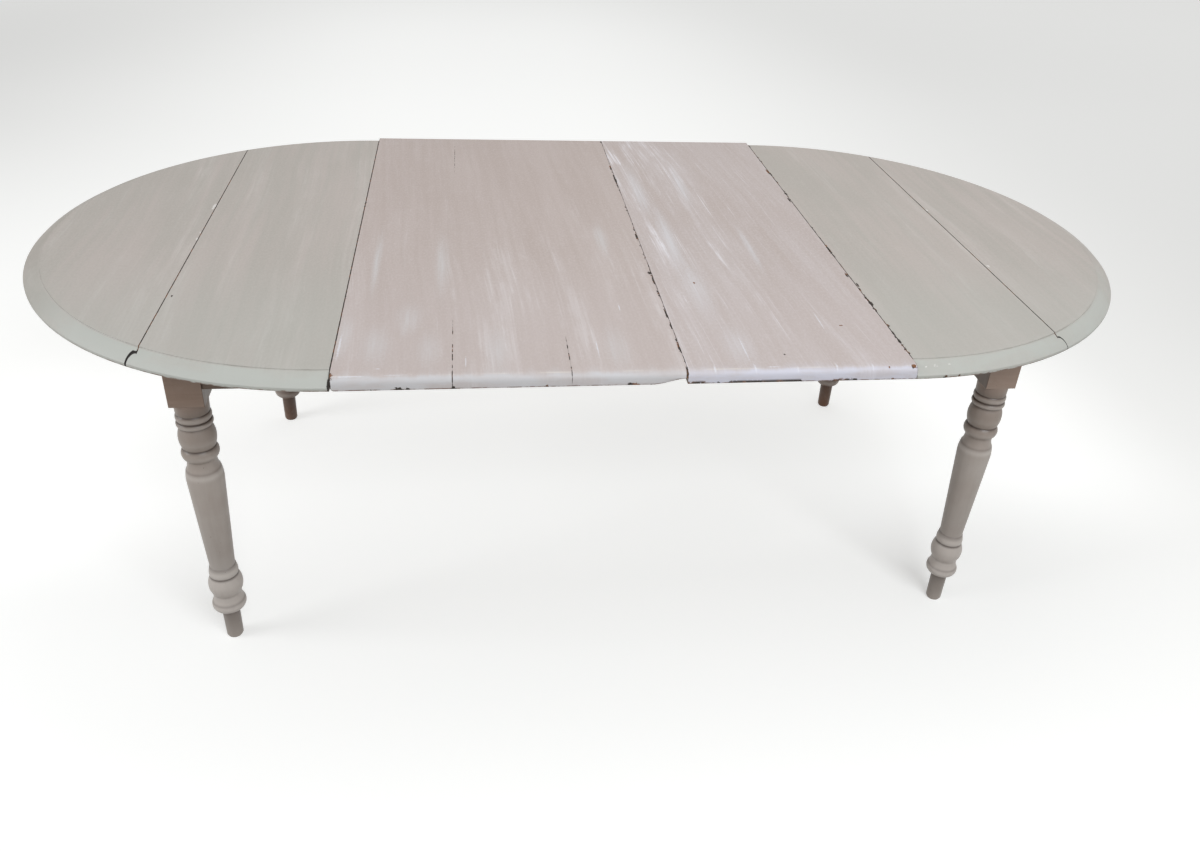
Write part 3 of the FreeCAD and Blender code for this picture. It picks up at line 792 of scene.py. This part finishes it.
# %% Mix the frame paint
def make_frame_paint():
    material, shader, vector = new_material("frame_paint")
    x, y, z = coordinates(vector)
    clouds = step(noise(vector, 9.0, 4.0), 0.35, 0.65)
    colour = blended(clouds, rgb(168, 158, 151), rgb(177, 169, 163))
    strokes = step(noise(vector, (120.0, 120.0, 14.0), 4.0), 0.4, 0.7)
    colour = layered(colour, strokes, 0.12, rgb(146, 134, 124))
    # Painted shade: darker and browner from the middle of the column up, more so on the blocks, for
    # the shade under the top.
    colour = layered(colour, step(z, 0.40, 0.50), 0.45, rgb(107, 86, 71))
    high = step(z, 0.55, 0.61) * 0.8
    colour = blended(high, colour, rgb(146, 121, 105))
    level = high * step(noise(vector, (7.0, 7.0, 130.0), 4.0, 0.6), 0.42, 0.62)
    colour = layered(colour, level, 0.30, rgb(120, 99, 85))
    dust = high * step(noise(vector, 16.0, 5.0, 0.65), 0.50, 0.75)
    colour = layered(colour, dust, 0.35, rgb(172, 158, 146))
    # Painted light: paler towards the feet, which stand out of the top's shade.
    colour = layered(colour, step(z, 0.26, 0.15), 0.45, rgb(202, 195, 190))
    peg = step(z, 0.080, 0.074)
    colour = layered(colour, peg, 0.45, rgb(124, 112, 103))
    rub = step(noise(vector, 30.0, 4.0, 0.6), 0.25, 0.6)
    back_feet = step(y, 0.1, 0.3) * step(z, 0.14, 0.07) * (rub * 0.3 + 0.7)
    colour = blended(back_feet, colour, rgb(115, 80, 58))
    # Less of that painted shade high up on the right legs.
    right = high * step(x, -0.1, 0.1)
    colour = layered(colour, right, 0.25, rgb(176, 160, 150))
    # Painted shade: the inner faces of the blocks, under the top, are darkest.
    inner_face = LEG_X - BLOCK_SIDE / 2
    inner = step(abs(x), inner_face + 0.0012, inner_face) * step(z, BLOCK_BOTTOM - 0.002, BLOCK_BOTTOM)
    colour = layered(colour, inner, 0.8, rgb(92, 72, 57))
    # Pale on the proudest rings: rubbed paint, and a painted highlight.
    crest = new_field(vector.tree, "ShaderNodeAttribute", "Fac", attribute_name="crest")
    colour = layered(colour, crest, clouds * 0.3 + 0.4, rgb(203, 197, 192))
    # Painted shade: dark in the grooves of the turnings.
    crease = new_field(vector.tree, "ShaderNodeAttribute", "Fac", attribute_name="crease")
    colour = layered(colour, crease, 0.95, rgb(62, 50, 43))
    specks = step(noise(vector, 230.0, 2.0, 0.6), 0.735, 0.765)
    colour = blended(specks, colour, rgb(92, 76, 66))
    roughness = clouds * 0.08 + strokes * 0.05 + 0.31
    finish_shader(shader, colour, roughness, strokes - specks * 2.0, 0.00010)
    return material


frame_paint = make_frame_paint()
print("frame paint:", len(frame_paint.node_tree.nodes), "nodes")

# %% [markdown]
# ## Bare wood and old steel
# The parts that nobody was meant to see were never painted. The grain group dresses them, turned
# so that its fibres follow each piece. Hinges and screws are dull steel with a bloom of rust.

# %% Mix the bare woods and the steel
def bare_wood(name, pale, dark, grime, angles, roughness):
    """Bare wood whose grain, drawn along Y, is turned to run along another direction."""
    material, shader, vector = new_material(name)
    turn = [math.radians(angle) for angle in angles]
    along = node_field("ShaderNodeMapping", {"Vector": vector, "Rotation": turn})
    wood = use_group(GRAIN, vector=along, pale=pale, dark=dark, grime=grime)
    finish_shader(shader, wood["Color"], wood["Height"] * 0.15 + roughness, wood["Height"], 0.0002)
    return material


def old_steel():
    material, shader, vector = new_material("hinge_steel")
    bloom = step(noise(vector, 90.0, 5.0, 0.65), 0.50, 0.68)
    colour = blended(bloom, rgb(128, 124, 120), rgb(98, 62, 42))
    feed(shader.inputs["Metallic"], 0.9 - bloom * 0.7)
    finish_shader(shader, colour, bloom * 0.35 + 0.42, bloom, 0.0001)
    return material


ALONG_X, ALONG_Y, ALONG_Z = (0.0, 0.0, 90.0), (0.0, 0.0, 0.0), (90.0, 0.0, 0.0)
PLAIN_PALE, PLAIN_DARK = rgb(182, 150, 112), rgb(132, 100, 70)
runner_wood = bare_wood("runner_wood", rgb(168, 128, 88), rgb(118, 82, 52), 0.35, ALONG_X, 0.38)
tie_wood = bare_wood("tie_wood", rgb(160, 122, 84), rgb(112, 78, 50), 0.35, ALONG_Y, 0.50)
plain_wood_x = bare_wood("plain_wood_x", PLAIN_PALE, PLAIN_DARK, 0.45, ALONG_X, 0.58)
plain_wood_z = bare_wood("plain_wood_z", PLAIN_PALE, PLAIN_DARK, 0.45, ALONG_Z, 0.58)
hinge_steel = old_steel()
print("woods and steel:", runner_wood.name, tie_wood.name, plain_wood_x.name, hinge_steel.name)

# %% [markdown]
# ## Boards with worn arrises
# A CAD board has edges sharper than any plane leaves them, and light never catches on those.
# Copying the node, welding its loose triangles and joining its flat faces gives a clean mesh, and
# a narrow bevel along the sharp edges then rounds them. Weighted normals keep the flats flat.

# %% Write the board helpers
WELD = 0.00001
CUT_WELD = 0.000001
FLAT_ANGLE = math.radians(0.4)
SHARP_ANGLE = math.radians(28)
CREASE_ANGLE = math.radians(42)


def clean_copy(node):
    """A bmesh of a CAD node, welded and with its flat faces whole."""
    bm = bmesh.new()
    bm.from_mesh(frame["nodes"][node].data)
    bmesh.ops.remove_doubles(bm, verts=bm.verts, dist=WELD)
    bmesh.ops.dissolve_limit(bm, angle_limit=FLAT_ANGLE, verts=bm.verts, edges=bm.edges)
    return bm


def add_bmesh(bm, other):
    """Move another bmesh into this one."""
    blank = bpy.data.meshes.new("blank")
    other.to_mesh(blank)
    other.free()
    bm.from_mesh(blank)
    bpy.data.meshes.remove(blank)


def cut(bm, place, normal):
    """New edges all round a mesh where a plane meets it."""
    geom = list(bm.verts) + list(bm.edges) + list(bm.faces)
    bmesh.ops.bisect_plane(bm, geom=geom, plane_co=place, plane_no=normal, dist=CUT_WELD)


def middle_of(edge):
    return (edge.verts[0].co + edge.verts[1].co) / 2


def sharper(edge, angle):
    return edge.is_manifold and edge.calc_face_angle() > angle


def bevel(bm, edges, width, segments):
    bmesh.ops.bevel(
        bm, geom=edges, offset=width, offset_type="OFFSET", segments=segments, profile=0.5,
        affect="EDGES", clamp_overlap=True, material=-1,
    )


def round_edges(bm, width, wanted=None, segments=2):
    """Bevel the sharp edges, or those of them that the wanted test picks."""
    sharp = [edge for edge in bm.edges if sharper(edge, SHARP_ANGLE)]
    edges = [edge for edge in sharp if wanted is None or wanted(edge)]
    bevel(bm, edges, width, segments)
    return len(edges)


def place_piece(bm, name, material, body, slot, replaced=()):
    """Turn a finished bmesh into a smooth piece that rides on a body."""
    for face in bm.faces:
        face.smooth = True
    for edge in bm.edges:
        edge.smooth = not edge.is_manifold or edge.calc_face_angle() < CREASE_ANGLE
    mesh = bpy.data.meshes.new(name)
    bm.to_mesh(mesh)
    bm.free()
    mesh.materials.append(material)
    piece = bpy.data.objects.new(name, mesh)
    bpy.context.scene.collection.objects.link(piece)
    normals = piece.modifiers.new("flats_stay_flat", "WEIGHTED_NORMAL")
    normals.keep_sharp = True
    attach(piece, body)
    if replaced:
        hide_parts(*replaced)
    return piece


print("board helpers are ready")

# %% [markdown]
# Two corners of the wide leaf are worn out of shape. The near left one is rounded off, so that a
# dark notch shows beside it, and near the leaf seam the lower arris rises to the right. Cuts give
# the board the points to bend, and the points of its lower edge then move.

# %% Round the boards of the top
BOARD_EASE = 0.0007
GLUED_JOINTS = BOARD_SEAMS + [(LEAF_SEAM + HALF_OPENING) / 2]
POCKET_TOP = 0.7335
LOWER_EDGE = 0.7285
WEAR_DEPTH = 0.03
CORNER_RADIUS = 0.009


def shown_arris(edge):
    """An edge of a board that is seen: not a glued joint, and not in a hinge's pocket."""
    x, y, z = middle_of(edge)
    glued = any(abs(x - seam) < 0.001 for seam in GLUED_JOINTS)
    by_hinge = abs(abs(x) - HINGE_SEAM) < 0.07 and abs(abs(y) - HINGE_Y) < 0.03
    return not glued and not (by_hinge and z < POCKET_TOP)


def cut_lower_edge(bm, places):
    """Cut a board across at some places along X and once along the near edge."""
    for x in places:
        cut(bm, (x, 0, 0), (1, 0, 0))
    cut(bm, (0, -TOP_RADIUS + WEAR_DEPTH, 0), (0, 1, 0))
    near = [vert for vert in bm.verts if vert.co.y < -TOP_RADIUS + WEAR_DEPTH - 0.001]
    return [vert for vert in near if vert.co.z < LOWER_EDGE]


def round_left_corner(bm):
    """Round the wide leaf's near left corner, upright and along its lower edge."""
    upright = [
        edge for edge in bm.edges
        if abs(middle_of(edge).x + HALF_OPENING) < 0.001
        and middle_of(edge).y < -TOP_RADIUS + 0.0137 and sharper(edge, math.radians(60))
    ]
    bevel(bm, upright, 0.0045, 4)
    places = [-HALF_OPENING + CORNER_RADIUS * share for share in (0.08, 0.25, 0.5, 0.75, 1.0)]
    for vert in cut_lower_edge(bm, places):
        inward = vert.co.x + HALF_OPENING
        if inward < CORNER_RADIUS:
            rest = max(0.0, CORNER_RADIUS ** 2 - (CORNER_RADIUS - inward) ** 2)
            vert.co.z += CORNER_RADIUS - math.sqrt(rest)


def wear_right_corner(bm):
    """Wear the lower edge away towards the leaf seam."""
    width = LEAF_SEAM - WORN_START
    for vert in cut_lower_edge(bm, [WORN_START + width * share for share in (0.0, 0.25, 0.5, 0.75)]):
        share = max(0.0, (vert.co.x - WORN_START) / width)
        vert.co.z += WORN_RISE * share * share * (3 - 2 * share)
        vert.co.y += 0.002 * share


def dress_board(node, material):
    bm = clean_copy(node)
    if node == "wide_leaf_board_1":
        round_left_corner(bm)
    if node == "wide_leaf_board_3":
        wear_right_corner(bm)
    count = round_edges(bm, BOARD_EASE, shown_arris)
    place_piece(bm, "painted_" + node, material, body_of[node], slot_of[node], [node])
    return count


for side in SIDES:
    rounded = [dress_board(side + part, half_paint) for part in ("_half_top", "_drop_leaf")]
    print(side, "edges rounded:", rounded)
for leaf, material, numbers in (("wide", wide_paint, (1, 2, 3)), ("narrow", narrow_paint, (1, 2))):
    rounded = [dress_board(leaf + "_leaf_board_" + str(number), material) for number in numbers]
    print(leaf, "leaf:", rounded)

# %% [markdown]
# ## Turned legs
# A leg starts as a square post whose lower part is turned on a lathe. In Blender the lathe is the
# spin operator: a few points up the outline, spun once round, give every bead and ball. The square
# block on top stays as the saw and the plane left it, with flat faces and eased edges.
# Each point is a share of the turning's height and of its largest radius.

# %% Draw the outline of a leg
ARC_STEPS = 9
LEG_SHARES = [
    ("line", (0.0, 0.0), (0.0, 0.41), (0.008, 0.475), (0.130, 0.50), (0.1315, 0.66)),
    ("round", (0.151, 0.95), (0.170, 0.91)),
    ("line", (0.1715, 0.885)),
    ("round", (0.188, 0.81), (0.208, 0.785)),
    ("round", (0.244, 0.965), (0.287, 0.765)),
    ("line", (0.2885, 0.79)),
    ("round", (0.297, 0.815), (0.312, 0.785)),
    ("line", (0.326, 0.735), (0.3285, 0.695), (0.332, 0.70), (0.700, 0.996)),
    ("round", (0.722, 0.975), (0.7405, 0.915)),
    ("line", (0.7425, 0.89)),
    ("round", (0.758, 0.805), (0.782, 0.80)),
    ("round", (0.804, 0.985), (0.826, 0.84)),
    ("round", (0.866, 0.98), (0.908, 0.80)),
    ("round", (0.919, 0.955), (0.930, 0.84)),
    ("round", (0.944, 0.93), (0.957, 0.85)),
    ("line", (0.961, 0.875), (1.0, 0.90), (1.0, 0.0)),
]


def through_three(first, middle, last, count):
    """Points after the first on the arc through three points of a plane."""
    a, b, c = (Vector((*point, 0.0)) for point in (first, middle, last))
    d = 2 * ((a - c).x * (b - c).y - (b - c).x * (a - c).y)
    p, q = (a.length_squared - c.length_squared), (b.length_squared - c.length_squared)
    centre = Vector(((p * (b - c).y - q * (a - c).y) / d, (q * (a - c).x - p * (b - c).x) / d, 0.0))
    start, mid, end = (math.atan2((v - centre).y, (v - centre).x) for v in (a, b, c))
    turn = (end - start) % (2 * math.pi)
    if (mid - start) % (2 * math.pi) > turn:
        turn -= 2 * math.pi
    radius = (a - centre).length
    angles = [start + turn * number / count for number in range(1, count + 1)]
    return [(centre.x + radius * math.cos(t), centre.y + radius * math.sin(t)) for t in angles]


def leg_outline():
    """Points of radius and height up the turning, in metres."""
    points = []
    for kind, *shares in LEG_SHARES:
        stops = [(TURNED_RADIUS * radius, BLOCK_BOTTOM * height) for height, radius in shares]
        points += stops if kind == "line" else through_three(points[-1], *stops, ARC_STEPS)
    return points


print("points up a leg:", len(leg_outline()))

# %% [markdown]
# The painted shade in the grooves and the pale crests, rubbed paint with a painted highlight, come
# from the same shares: each crease and each crest has a height and a strength, and fades out within a
# few millimetres.

# %% Turn the legs
SPIN_STEPS = 56
BLOCK_EASE = 0.0010
# Heights and strengths of the painted shade in the grooves.
CREASES = {
    0.131: 0.6, 0.171: 0.35, 0.208: 0.2, 0.2875: 0.9, 0.328: 0.55, 0.741: 0.3,
    0.782: 0.15, 0.826: 0.9, 0.908: 0.5, 0.930: 0.9, 0.957: 0.9,
}
CREASE_REACH = 0.0024
# Heights and strengths of the pale crests, rubbed paint with a painted highlight.
CRESTS = {
    0.155: 0.9, 0.258: 0.3, 0.303: 0.6, 0.726: 0.9, 0.800: 0.35, 0.855: 0.25, 0.919: 0.5, 0.944: 0.5,
}
CREST_REACH = 0.0055


def turn_leg():
    """The turned part of a leg on the Z axis."""
    bm = bmesh.new()
    verts = [bm.verts.new((radius, 0.0, height)) for radius, height in leg_outline()]
    edges = [bm.edges.new(pair) for pair in zip(verts, verts[1:])]
    bmesh.ops.spin(
        bm, geom=verts + edges, cent=(0, 0, 0), axis=(0, 0, 1), dvec=(0, 0, 0),
        angle=2 * math.pi, steps=SPIN_STEPS, use_merge=True,
    )
    bmesh.ops.remove_doubles(bm, verts=bm.verts, dist=WELD)
    bmesh.ops.recalc_face_normals(bm, faces=bm.faces)
    return bm


def square_block():
    """The square block on top of a leg, its edges eased by a few strokes of the plane."""
    bm = bmesh.new()
    tall = TOP_UNDERSIDE - BLOCK_BOTTOM
    bmesh.ops.create_cube(bm, size=1.0)
    bmesh.ops.scale(bm, vec=(BLOCK_SIDE, BLOCK_SIDE, tall), verts=bm.verts)
    bmesh.ops.translate(bm, vec=(0, 0, BLOCK_BOTTOM + tall / 2), verts=bm.verts)
    round_edges(bm, BLOCK_EASE, segments=3)
    return bm


def set_wear(piece, foot, name, places, reach):
    """Give a leg's mesh a value that its paint reads: up to 1 at some heights, 0 away from them."""
    wear = piece.data.attributes.new(name, "FLOAT", "POINT")
    for vert in piece.data.vertices:
        height = (vert.co - foot).z
        values = [
            strength * math.exp(-((height - share * BLOCK_BOTTOM) / reach) ** 2)
            for share, strength in places.items()
        ]
        wear.data[vert.index].value = 0.0 if height > BLOCK_BOTTOM - 0.001 else max(values)


def dress_leg(side, end):
    node = side + "_" + end + "_leg"
    foot = Vector((SIDES[side] * LEG_X, ENDS[end] * LEG_Y, 0.0))
    bm = turn_leg()
    add_bmesh(bm, square_block())
    bmesh.ops.translate(bm, vec=foot, verts=bm.verts)
    piece = place_piece(bm, "turned_" + node, frame_paint, body_of[node], slot_of[node], [node])
    set_wear(piece, foot, "crease", CREASES, CREASE_REACH)
    set_wear(piece, foot, "crest", CRESTS, CREST_REACH)
    return piece


legs = [dress_leg(side, end) for side in SIDES for end in ENDS]
print("legs:", len(legs), "faces in each:", len(legs[0].data.polygons))

# %% [markdown]
# ## Dress the rest of the frame
# The other wooden nodes have the right shape and need only eased edges, so each gives a copy with
# narrow bevels. The hinges keep their CAD mesh and only take their steel.

# %% Ease the edges under the top
FRAME_EASE = 0.0006
WOODS = {"apron": frame_paint, "tie": tie_wood, "runner": runner_wood, "glue": plain_wood_z}


def material_for(node):
    return next((wood for word, wood in WOODS.items() if word in node), plain_wood_x)


eased = 0
for name, node in frame["nodes"].items():
    if node.hide_render:
        continue
    if "hinge" in name:
        node.data.materials.clear()
        node.data.materials.append(hinge_steel)
        continue
    bm = clean_copy(name)
    eased += round_edges(bm, FRAME_EASE, segments=1)
    place_piece(bm, "eased_" + name, material_for(name), body_of[name], slot_of[name], [name])
print("edges eased under the top:", eased)

# %% [markdown]
# ## Small screws
# Slotted wood screws hold the hinges, guides, battens and ties. They are seen only from below, and
# all that a screw shows is its head: a low disc with a slot, sunk almost flush with its seat. One
# object holds all the screws that move together, so each can ride on the right body.

# %% Set the screws
HEAD_RADIUS = 0.0036
HEAD_PROUD = 0.0004
HEAD_SUNK = 0.0012
SLOT_WIDTH = 0.0009
SLOT_DEPTH = 0.0007
LOPER_Y = 0.130
GUIDE_BOTTOM = 0.679
BATTEN_Y, BATTEN_BOTTOM = 0.3316, 0.6943
TIE_BOTTOM = 0.6517


def add_screw(bm, place, turn):
    """One screw head that faces down, its slot turned by an angle."""
    head = bmesh.new()
    bmesh.ops.create_cone(
        head, cap_ends=True, segments=20, radius1=HEAD_RADIUS, radius2=HEAD_RADIUS,
        depth=HEAD_PROUD + HEAD_SUNK,
    )
    bmesh.ops.translate(head, vec=(0, 0, (HEAD_SUNK - HEAD_PROUD) / 2), verts=head.verts)
    for side in (-1, 1):
        cut(head, (side * SLOT_WIDTH / 2, 0, 0), (1, 0, 0))
    lower = [face for face in head.faces if face.normal.z < -0.9]
    strip = [face for face in lower if abs(face.calc_center_median().x) < SLOT_WIDTH / 4]
    slot = bmesh.ops.extrude_discrete_faces(head, faces=strip)["faces"]
    slot_verts = [vert for face in slot for vert in face.verts]
    bmesh.ops.translate(head, vec=(0, 0, SLOT_DEPTH), verts=slot_verts)
    bmesh.ops.rotate(head, cent=(0, 0, 0), matrix=Matrix.Rotation(turn, 3, "Z"), verts=head.verts)
    bmesh.ops.translate(head, vec=place, verts=head.verts)
    add_bmesh(bm, head)


def set_screws(name, body, places):
    """One object of screws, each slot turned another way. Returns how many it holds."""
    bm = bmesh.new()
    for number, place in enumerate(places):
        add_screw(bm, place, 0.9 * number * number)
    place_piece(bm, name, hinge_steel, body, "hinge_steel")
    return len(places)


def places_at(xs, offset_y, height, spreads=(0.0,)):
    """Places at the front and the back: the same X, at one distance from the middle line."""
    return [
        (x, end * offset_y + spread, height)
        for end in ENDS.values() for x in xs for spread in spreads
    ]


screw_count = 0
for side, sign in SIDES.items():
    flap_xs = [sign * (HINGE_SEAM + reach) for reach in (0.030, 0.054)]
    flap_places = places_at(flap_xs, HINGE_Y, TOP_UNDERSIDE, (-0.012, 0.012))
    guide_xs = [sign * x for x in (0.594, 0.779)]
    guide_places = places_at(guide_xs, LOPER_Y, GUIDE_BOTTOM, (-0.0215, 0.0215))
    tie_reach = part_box(side + "_inner_tie")[1][1] - 0.013
    tie_places = places_at([sign * 0.4729], tie_reach, TIE_BOTTOM)
    screw_count += set_screws(side + "_flap_screws", side + "_flap", flap_places)
    screw_count += set_screws(side + "_guide_screws", side + "_half", guide_places)
    screw_count += set_screws(side + "_tie_screws", side + "_inner_runners", tie_places)
core_places = places_at((-0.150, 0.150), 0.25025, TIE_BOTTOM)
wide_places = places_at((-0.4075, -0.2075, -0.0075), BATTEN_Y, BATTEN_BOTTOM)
narrow_places = places_at((0.196, 0.404), BATTEN_Y, BATTEN_BOTTOM)
screw_count += set_screws("core_tie_screws", "slide_core", core_places)
screw_count += set_screws("wide_batten_screws", "wide_leaf", wide_places)
screw_count += set_screws("narrow_batten_screws", "narrow_leaf", narrow_places)
print("screws set:", screw_count)

# %% [markdown]
# ## Floor and light
# The floor is one large pale sheet. Its glow reaches only the camera, mirrors and glass, brighter
# under the table and farther back, dimmer to the right and at the far left. It throws back only a
# little warm light, as a room's floor would, so the legs keep their shade. Far out it has the
# brightness of the surround behind it, so its end doesn't show, and from below it is clear.
# Light is soft: an even surround, a panel over the middle, a high window on the viewer's side and
# a low one on the left, whose shadows run to the right of the feet.

# %% Lay the floor and set the lights
FLOOR_SIZE = 14.0
FLOOR_GLOW = 0.44
FLOOR_SEEN, FLOOR_LIT = (0.70, 0.70, 0.69, 1.0), (0.50, 0.485, 0.46, 1.0)
SURROUND_LIGHT, SURROUND_SEEN = 0.40, 0.32


def floor_glow(x, y):
    """How brightly the floor glows, by the place on it."""
    # Painted light: the glow is raised under the table, lightening the table's shadow, and farther
    # back, where the lamps' light falls off; it is lowered at the far left, a painted shade in that
    # corner.
    under = step(y, -0.35, 0.1) * step(y, 1.1, 0.5) * (step(x, -1.9, -1.2) * step(x, 1.9, 1.2))
    far_left = step(x, -0.5, -3.5) * step(y, 0.5, 3.5)
    glow = step(y, 0.0, 4.0) * 0.12 + FLOOR_GLOW - step(x, 0.2, 3.0) * 0.15
    glow = glow + under * 0.17 - far_left * 0.22
    far = step(distance(x, y), 5.0, 9.0)
    return glow * (1.0 - far) + far * FLOOR_GLOW


def seen_by(tree, *rays):
    """1 for the named kinds of rays and 0 for all others."""
    path = tree.nodes.new("ShaderNodeLightPath")
    first, *others = (Field(path.outputs["Is " + ray + " Ray"]) for ray in rays)
    for other in others:
        first = first + other
    return first


def lay_floor():
    bm = bmesh.new()
    bmesh.ops.create_grid(bm, x_segments=2, y_segments=2, size=FLOOR_SIZE)
    mesh = bpy.data.meshes.new("studio_floor")
    bm.to_mesh(mesh)
    bm.free()
    floor = bpy.data.objects.new("studio_floor", mesh)
    bpy.context.scene.collection.objects.link(floor)
    material, shader, vector = new_material("studio_floor")
    tree = material.node_tree
    x, y, _ = coordinates(vector)
    shader.inputs["Roughness"].default_value = 0.9
    shader.inputs["Specular IOR Level"].default_value = 0.1
    shader.inputs["Emission Color"].default_value = (0.985, 1.0, 1.0, 1.0)
    feed(shader.inputs["Base Color"], blended(seen_by(tree, "Camera"), FLOOR_LIT, FLOOR_SEEN))
    straight = seen_by(tree, "Camera", "Glossy", "Transmission")
    feed(shader.inputs["Emission Strength"], straight * floor_glow(x, y))
    below = new_field(tree, "ShaderNodeNewGeometry", "Backfacing")
    clear = new_field(tree, "ShaderNodeBsdfTransparent", 0)
    shown = node_field("ShaderNodeMixShader", {0: below, 1: Field(shader.outputs[0]), 2: clear})
    feed(tree.nodes["Material Output"].inputs["Surface"], shown)
    mesh.materials.append(material)
    floor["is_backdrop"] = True
    return floor


def add_panel(name, place, aim, size, power, colour):
    """A large soft lamp that faces a point."""
    data = bpy.data.lights.new(name, "AREA")
    data.shape = "RECTANGLE"
    data.size, data.size_y = size
    data.energy = power
    data.color = colour
    lamp = bpy.data.objects.new(name, data)
    lamp.location = place
    lamp.rotation_euler = (Vector(aim) - Vector(place)).to_track_quat("-Z", "Y").to_euler()
    bpy.context.scene.collection.objects.link(lamp)
    return lamp


def set_surround():
    world = bpy.data.worlds.new("surround")
    world.use_nodes = True
    background = world.node_tree.nodes["Background"]
    background.inputs["Color"].default_value = (1.0, 0.985, 0.965, 1.0)
    straight = seen_by(world.node_tree, "Camera", "Glossy", "Transmission")
    feed(background.inputs["Strength"], straight * SURROUND_SEEN + SURROUND_LIGHT)
    bpy.context.scene.world = world


lay_floor()
set_surround()
add_panel("over_middle", (0.4, 0.6, 2.9), (0.2, 0.2, 0.7), (2.2, 2.0), 17.0, (1.0, 0.98, 0.95))
add_panel("viewer_window", (1.3, -3.8, 3.9), (0.1, -0.1, 0.6), (3.0, 2.2), 135.0, (0.95, 0.98, 1.0))
add_panel("left_window", (-4.2, -0.9, 2.0), (-0.2, -0.2, 0.45), (1.8, 1.6), 52.0, (0.97, 0.985, 1.0))

# %% Note the sizes and finish
visual_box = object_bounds()
print("visual box:", [round(value, 4) for corner in visual_box for value in corner])
